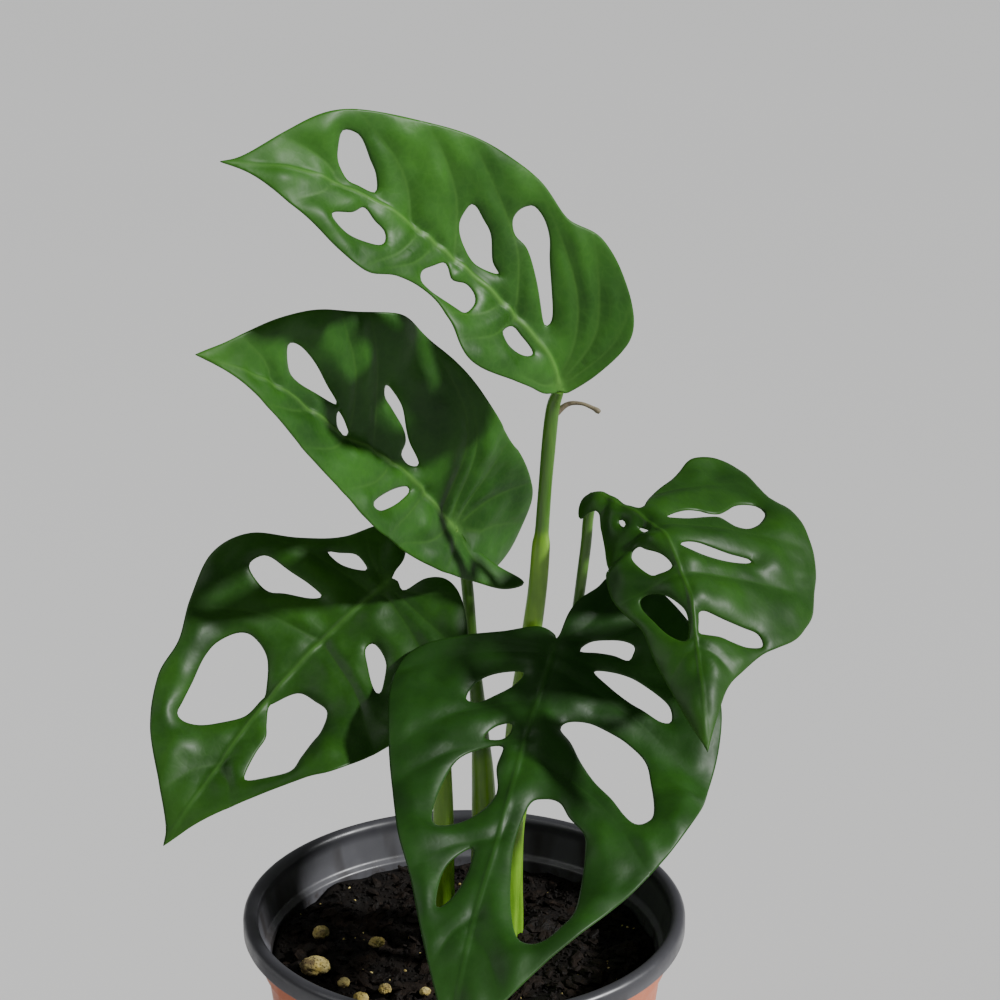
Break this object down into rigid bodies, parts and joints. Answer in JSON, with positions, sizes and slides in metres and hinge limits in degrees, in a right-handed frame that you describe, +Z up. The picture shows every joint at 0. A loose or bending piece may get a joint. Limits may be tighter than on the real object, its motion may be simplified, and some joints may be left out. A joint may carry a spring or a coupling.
{
  "type": "monstera adansonii in a nursery pot",
  "caption": "Young monstera adansonii with perforated leaves on slim stalks, growing in soil with pale perlite in a round terracotta-orange nursery pot with a dark rolled rim.",
  "frame": {"origin": "centre of the pot's underside, on the surface that the pot stands on", "axes": "+Z up along the pot's axis; the large front leaf hangs towards -Y"},
  "size_m": [0.1445, 0.1383, 0.2742],
  "materials": {
    "pot_plastic": "satin terracotta orange outside, dark grey gloss inside and on the rolled rim",
    "potting_mix": "dark damp crumb with bark",
    "perlite": "rough pale yellowish white",
    "leaf_skin": "glossy waxy green with raised veins",
    "stalk_skin": "smooth yellow-green"
  },
  "bodies": {
    "root": {"pot": "pot_plastic", "soil": "potting_mix", "perlite_1": "perlite", "perlite_2": "perlite", "perlite_3": "perlite", "perlite_4": "perlite", "perlite_5": "perlite", "perlite_6": "perlite", "perlite_7": "perlite", "crown": "stalk_skin", "stalk_top": "stalk_skin", "stalk_left": "stalk_skin", "stalk_low_left": "stalk_skin", "stalk_front": "stalk_skin", "stalk_right": "stalk_skin", "leaf_top": "leaf_skin", "leaf_left": "leaf_skin", "leaf_low_left": "leaf_skin", "leaf_front": "leaf_skin", "leaf_right": "leaf_skin"}
  },
  "joints": []
}
